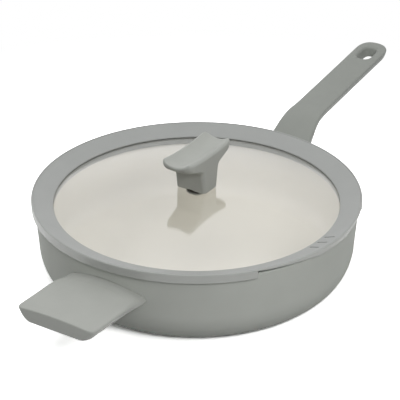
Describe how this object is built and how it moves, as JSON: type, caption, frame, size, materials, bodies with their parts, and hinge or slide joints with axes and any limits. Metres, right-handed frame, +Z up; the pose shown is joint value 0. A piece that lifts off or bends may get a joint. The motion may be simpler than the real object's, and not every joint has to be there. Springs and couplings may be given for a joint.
{
  "type": "saute pan with lid",
  "caption": "Round saute pan with a long handle, a helper handle and a lift-off domed glass lid with a silicone rim and a T-shaped knob, for frying and simmering.",
  "frame": {"origin": "centre of the pan's underside, on the surface it stands on", "axes": "+Z up along the pan's axis, +X along the long handle, away from the pan"},
  "size_m": [0.553, 0.294, 0.1176],
  "materials": {
    "pan_coat": "matte grey outer coat",
    "ceramic": "cream ceramic non-stick coat, satin gloss",
    "base_steel": "turned steel disc",
    "soft_touch": "matte soft-touch coat",
    "silicone": "matte silicone",
    "seal": "dark silicone",
    "glass": "clear tempered glass",
    "lug_aluminium": "cast, bare",
    "screw_steel": "bright zinc",
    "insert_brass": "turned"
  },
  "bodies": {
    "pan": {"pan_body": "pan_coat", "ceramic_lining": "ceramic", "base_disc": "base_steel", "handle_lug": "lug_aluminium", "long_handle": "soft_touch", "handle_screw": "screw_steel", "helper_lug": "lug_aluminium", "helper_handle": "soft_touch", "helper_screw_left": "screw_steel", "helper_screw_right": "screw_steel"},
    "lid": {"lid_rim": "silicone", "lid_glass": "glass", "knob_seal": "seal", "knob": "soft_touch", "knob_insert": "insert_brass", "washer_seal": "seal", "knob_washer": "screw_steel", "knob_screw": "screw_steel"}
  },
  "joints": [
    {"name": "lid_lift", "type": "slide", "parent": "pan", "child": "lid", "axis": [0, 0, 1], "range_m": [0, 0.15]}
  ]
}
